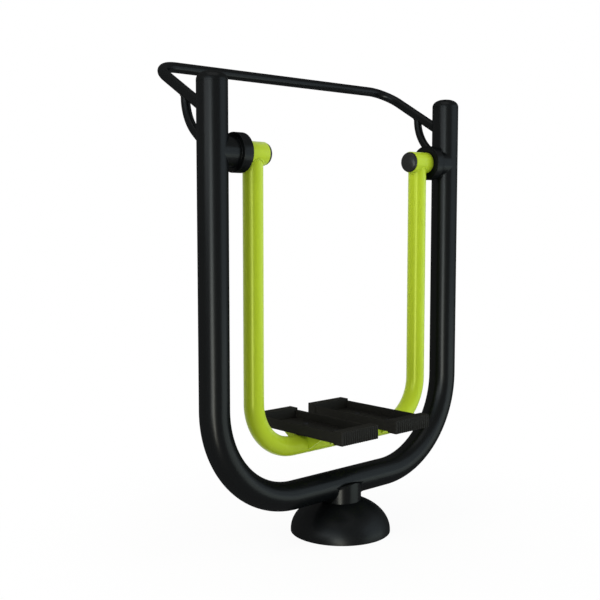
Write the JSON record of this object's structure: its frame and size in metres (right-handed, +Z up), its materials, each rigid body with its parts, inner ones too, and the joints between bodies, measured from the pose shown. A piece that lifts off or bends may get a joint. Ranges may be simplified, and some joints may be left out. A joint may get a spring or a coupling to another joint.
{
  "type": "outdoor air walker",
  "caption": "Outdoor air walker with foot pedals on swinging arms inside a bent tube frame on a domed foot, and a handrail.",
  "frame": {"origin": "centre of the base flange's underside, on the ground", "axes": "+Z up, +X along the hub axis towards the right arm, +Y towards the handrail's crossbar"},
  "size_m": [1.101, 0.5045, 1.471],
  "materials": {
    "black_powder_coat": "gloss powder coat",
    "lime_powder_coat": "gloss powder coat",
    "black_moulded_plastic": "matte moulded",
    "black_rubber": "matte",
    "bearing_steel": "ground",
    "zinc_plated_steel": "satin zinc plate",
    "black_zinc_plated_steel": "black passivated zinc plate"
  },
  "bodies": {
    "frame": {"axle_housing_left": "black_powder_coat", "axle_housing_right": "black_powder_coat", "axle_left": "bearing_steel", "axle_nut_left": "zinc_plated_steel", "axle_nut_right": "zinc_plated_steel", "axle_right": "bearing_steel", "base_flange": "black_powder_coat", "base_rib_1": "black_powder_coat", "base_rib_2": "black_powder_coat", "base_rib_3": "black_powder_coat", "base_rib_4": "black_powder_coat", "bearing_spacer_left": "zinc_plated_steel", "bearing_spacer_right": "zinc_plated_steel", "cap_end_bearing_inner_ring_left": "bearing_steel", "cap_end_bearing_inner_ring_right": "bearing_steel", "drum_cover_ring_left": "black_powder_coat", "drum_cover_ring_right": "black_powder_coat", "drum_end_bearing_inner_ring_left": "bearing_steel", "drum_end_bearing_inner_ring_right": "bearing_steel", "foot_cover": "black_powder_coat", "frame_tube": "black_powder_coat", "handrail": "black_powder_coat", "handrail_strut_left": "black_powder_coat", "handrail_strut_right": "black_powder_coat", "neck_pipe": "black_powder_coat", "neck_plate_back": "black_powder_coat", "neck_plate_front": "black_powder_coat", "post_cap_left": "black_powder_coat", "post_cap_right": "black_powder_coat", "stop_buffer_left": "black_rubber", "stop_buffer_right": "black_rubber", "stop_drum_left": "black_powder_coat", "stop_drum_right": "black_powder_coat"},
    "left_arm": {"arm_plug_left": "black_moulded_plastic", "arm_tube_left": "lime_powder_coat", "cap_end_bearing_outer_ring_left": "bearing_steel", "drum_end_bearing_outer_ring_left": "bearing_steel", "foot_pedal_left": "black_moulded_plastic", "hub_cap_left": "black_moulded_plastic", "hub_sleeve_left": "lime_powder_coat", "pedal_bolt_back_inner_left": "black_zinc_plated_steel", "pedal_bolt_back_outer_left": "black_zinc_plated_steel", "pedal_bolt_front_inner_left": "black_zinc_plated_steel", "pedal_bolt_front_outer_left": "black_zinc_plated_steel", "pedal_bracket_left": "lime_powder_coat", "stop_lug_left": "lime_powder_coat"},
    "right_arm": {"arm_plug_right": "black_moulded_plastic", "arm_tube_right": "lime_powder_coat", "cap_end_bearing_outer_ring_right": "bearing_steel", "drum_end_bearing_outer_ring_right": "bearing_steel", "foot_pedal_right": "black_moulded_plastic", "hub_cap_right": "black_moulded_plastic", "hub_sleeve_right": "lime_powder_coat", "pedal_bolt_back_inner_right": "black_zinc_plated_steel", "pedal_bolt_back_outer_right": "black_zinc_plated_steel", "pedal_bolt_front_inner_right": "black_zinc_plated_steel", "pedal_bolt_front_outer_right": "black_zinc_plated_steel", "pedal_bracket_right": "lime_powder_coat", "stop_lug_right": "lime_powder_coat"}
  },
  "joints": [
    {"name": "left_arm_swing", "type": "hinge", "parent": "frame", "child": "left_arm", "pos_m": [-0.3745, 0, 1.188], "axis": [1, 0, 0], "range_deg": [-45, 45]},
    {"name": "right_arm_swing", "type": "hinge", "parent": "frame", "child": "right_arm", "pos_m": [0.3745, 0, 1.188], "axis": [1, 0, 0], "range_deg": [-45, 45]}
  ]
}
